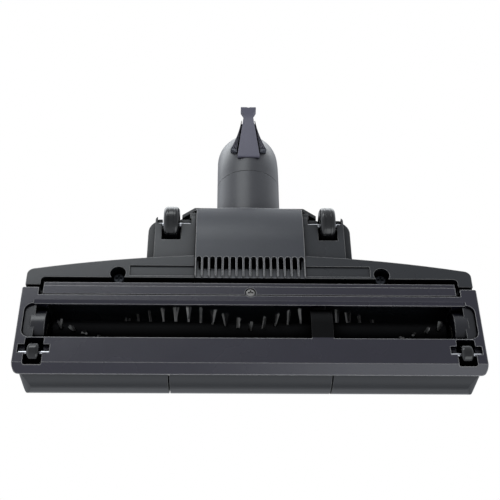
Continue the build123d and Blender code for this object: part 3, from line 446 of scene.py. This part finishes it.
def make_hook_ribs():
    """Fine ribs along the hook's two gussets, which are darker than its outer plate."""
    data = nodes["parking_hook"].data
    faces = gusset_faces(data)
    level = faces[0].center.z
    data.materials.append(GUSSET)
    for polygon in data.polygons:
        if polygon.center.z > level - SAME_LEVEL:
            polygon.material_index = 1
    corners = [data.vertices[index].co for polygon in faces for index in polygon.vertices]
    widest = max(corners, key=lambda corner: (abs(corner.x), corner.y))
    start = widest.y + RIB_START
    end = max(corner.y for corner in corners) - RIB_END
    stations = [start + (end - start) * step / RIB_STEPS for step in range(RIB_STEPS + 1)]
    mesh = bmesh.new()
    for side in (-1, 1):
        spans = [span_at(data, faces, side, y) for y in stations]
        for rib in range(RIBS_PER_SIDE):
            skin(mesh, [rib_ring(mesh, side, span, rib, y, level) for span, y in zip(spans, stations)])
    bmesh.ops.recalc_face_normals(mesh, faces=mesh.faces)
    ribs = new_piece("hook_ribs", mesh, FINISHES["hook_plastic"])
    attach(ribs, "elbow")


# Bristles

def islands(data):
    """The separate pieces of a mesh, as lists of points."""
    work = bmesh.new()
    work.from_mesh(data)
    bmesh.ops.remove_doubles(work, verts=work.verts, dist=SAME_POINT)
    seen = set()
    groups = []
    for start in work.verts:
        if start in seen:
            continue
        seen.add(start)
        group = []
        front = [start]
        while front:
            vert = front.pop()
            group.append(vert.co.copy())
            for edge in vert.link_edges:
                other = edge.other_vert(vert)
                if other not in seen:
                    seen.add(other)
                    front.append(other)
        groups.append(group)
    work.free()
    return groups


def add_filament(mesh, strand, root, tip, sag, shade):
    """One tapered bristle from root to tip, bowed sideways by sag."""
    along = (tip - root).normalized()
    across = along.orthogonal().normalized()
    third = along.cross(across)
    rings = []
    for step in range(FILAMENT_RINGS):
        share = step / (FILAMENT_RINGS - 1)
        centre = root.lerp(tip, share) + sag * (share * share)
        thickness = FILAMENT_RADIUS * (1 - FILAMENT_TAPER * share)
        ring = []
        for side in range(FILAMENT_SIDES):
            turn = 2 * math.pi * side / FILAMENT_SIDES
            offset = (across * math.cos(turn) + third * math.sin(turn)) * thickness
            vert = mesh.verts.new(centre + offset)
            vert[strand] = shade
            ring.append(vert)
        rings.append(ring)
    skin(mesh, rings)


def make_bristles():
    """A fanned bundle of nylon filaments in place of each plain tuft on the roller."""
    low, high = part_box("roller_core")
    axis_y = (low.y + high.y) / 2
    axis_z = (low.z + high.z) / 2
    core_radius = (high.z - low.z) / 2
    chance = random.Random(BRISTLE_SEED)

    def either_way(spread):
        return chance.uniform(-spread, spread)

    mesh = bmesh.new()
    strand = mesh.verts.layers.float.new("strand")
    for points in islands(nodes["bristle_tufts"].data):
        middle = sum(points, Vector()) / len(points)
        out = Vector((0, middle.y - axis_y, middle.z - axis_z)).normalized()
        side = Vector((0, -out.z, out.y))
        axis_point = Vector((middle.x, axis_y, axis_z))
        reach = max((point - axis_point).dot(out) for point in points)
        for _ in range(CLUMPS_PER_TUFT):
            clump_root = axis_point + out * (core_radius - ROOT_DEPTH)
            clump_root += Vector((either_way(CLUMP_ROOT_SPREAD), 0, 0))
            clump_tip = axis_point + Vector((either_way(CLUMP_TIP_SPREAD), 0, 0))
            clump_tip += side * either_way(CLUMP_LEAN)
            # Random tone per clump, whose pale end paints highlights of lit filaments
            clump_shade = chance.random()
            for _ in range(FILAMENTS_PER_CLUMP):
                angle = chance.uniform(0, 2 * math.pi)
                spot = math.sqrt(chance.random())
                offset = Vector((math.cos(angle) * spot, 0, 0)) + side * math.sin(angle) * spot
                root = clump_root + offset * BUNDLE_AT_ROOT
                length = reach - chance.uniform(SHORTEST_TRIM, LONGEST_TRIM)
                tip = clump_tip + out * length + offset * BUNDLE_AT_TIP
                sag = Vector((either_way(SAG_SPREAD), 0, 0))
                shade = clump_shade * chance.uniform(DARKEST_IN_CLUMP, 1.0)
                add_filament(mesh, strand, root, tip, sag, shade)
    bristles = new_piece("bristle_bundles", mesh, FINISHES["bristle_nylon"])
    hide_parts("bristle_tufts")
    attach(bristles, "roller")


# Studio

def add_camera():
    """The photograph's camera: in front of and below the head, looking up at its underside."""
    front_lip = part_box("sole_frame")[0].y
    data = bpy.data.cameras.new("camera")
    data.sensor_width = CAMERA_SENSOR
    data.lens = CAMERA_LENS
    camera = bpy.data.objects.new("camera", data)
    bpy.context.scene.collection.objects.link(camera)
    forward = CAMERA_FORWARD.normalized()
    right = forward.cross(CAMERA_UP).normalized()
    up = right.cross(forward)
    place = Matrix((right, up, -forward)).transposed().to_4x4()
    place.translation = Vector((CAMERA_X, front_lip + CAMERA_FROM_LIP, CAMERA_Z))
    camera.matrix_world = place
    bpy.context.scene.camera = camera


def add_area_lamp(name, place, target, size, power, mirrored=True):
    """A soft rectangular lamp that faces a point, and shows in reflections if mirrored."""
    data = bpy.data.lights.new(name, "AREA")
    data.shape = "RECTANGLE"
    data.size, data.size_y = size
    data.energy = power
    data.color = LAMP_COLOUR
    lamp = bpy.data.objects.new(name, data)
    bpy.context.scene.collection.objects.link(lamp)
    lamp.visible_glossy = mirrored
    lamp.location = place
    lamp.rotation_euler = (Vector(target) - Vector(place)).to_track_quat("-Z", "Y").to_euler()


def set_world():
    """White for the view, a dim fill, and for reflections a surround brightest at the horizon and at +X."""
    world = bpy.data.worlds.new("studio")
    bpy.context.scene.world = world
    world.use_nodes = True
    path = add_node(world, "ShaderNodeLightPath")
    place = add_node(world, "ShaderNodeTexCoord")
    split = add_node(world, "ShaderNodeSeparateXYZ")
    link(world, place.outputs["Generated"], split.inputs["Vector"])
    fill = world.node_tree.nodes["Background"]
    fill.inputs["Color"].default_value = grey(1.0)
    fill.inputs["Strength"].default_value = FILL_LEVEL
    height = map_range(world, split.outputs["Z"], -1.0, 1.0)
    surround = ramp(world, height, [(spot, cool(level)) for spot, level in SURROUND])
    sideways = map_range(world, split.outputs["X"], -1.0, 1.0, SURROUND_LEFT, SURROUND_RIGHT)
    mirrored = add_node(world, "ShaderNodeBackground")
    link(world, surround, mirrored.inputs["Color"])
    link(world, sideways, mirrored.inputs["Strength"])
    white = add_node(world, "ShaderNodeBackground", Color=grey(1.0))
    lit = mix_shaders(world, path.outputs["Is Glossy Ray"], fill, mirrored)
    seen = combine(world, "MAXIMUM", path.outputs["Is Camera Ray"], path.outputs["Is Transmission Ray"])
    view = mix_shaders(world, seen, lit, white)
    link(world, view.outputs[0], world.node_tree.nodes["World Output"].inputs["Surface"])


def floor_paint():
    """Pale paint seen only from above, which fades out with distance and lets other light through."""
    material, shader = new_material("floor_paint")
    shader.inputs["Base Color"].default_value = grey(FLOOR_LEVEL)
    shader.inputs["Roughness"].default_value = 0.8
    path = add_node(material, "ShaderNodeLightPath")
    geometry = add_node(material, "ShaderNodeNewGeometry")
    from_above = combine(material, "SUBTRACT", path.outputs["Is Camera Ray"],
                         geometry.outputs["Backfacing"], clamp=True)
    place = add_node(material, "ShaderNodeTexCoord")
    distance = add_node(material, "ShaderNodeVectorMath")
    distance.operation = "LENGTH"
    link(material, place.outputs["Object"], distance.inputs[0])
    fade = map_range(material, distance.outputs["Value"], FLOOR_FADE_START, FLOOR_FADE_END,
                     low=1.0, high=0.0, interpolation="SMOOTHSTEP")
    solid = combine(material, "MULTIPLY", from_above, fade)
    clear = add_node(material, "ShaderNodeBsdfTransparent")
    painted = mix_shaders(material, solid, clear, shader)
    link(material, painted.outputs[0], material.node_tree.nodes["Material Output"].inputs["Surface"])
    return material


def add_floor():
    """A pale floor under the wheels, which casts no shadow on what is below it."""
    data = bpy.data.meshes.new("floor")
    corners = [(x * FLOOR_HALF, y * FLOOR_HALF, 0) for x, y in ((-1, -1), (1, -1), (1, 1), (-1, 1))]
    data.from_pydata(corners, [], [(0, 1, 2, 3)])
    data.materials.append(floor_paint())
    floor = bpy.data.objects.new("floor", data)
    bpy.context.scene.collection.objects.link(floor)
    floor.visible_shadow = False


finish_nodes()
paint_shade_on_belt_guard()
make_hook_ribs()
make_bristles()
add_camera()
add_floor()
set_world()
add_area_lamp("lamp_key", place=(0.28, 0.64, -0.65), target=(0.04, 0, 0.01), size=(0.6, 0.35), power=2.2)
add_area_lamp("lamp_front", place=(-0.5, -1.0, -0.5), target=(0, 0, 0.02), size=(0.9, 0.6), power=3)
add_area_lamp("lamp_above", place=(-0.6, -0.5, 1.1), target=(0, 0, 0.02), size=(1.6, 1.6), power=15,
              mirrored=False)
add_area_lamp("lamp_rear", place=(0.15, 1.3, 0.35), target=(0, 0, 0.04), size=(2.0, 0.8), power=8)

bpy.context.scene.view_settings.view_transform = "Standard"
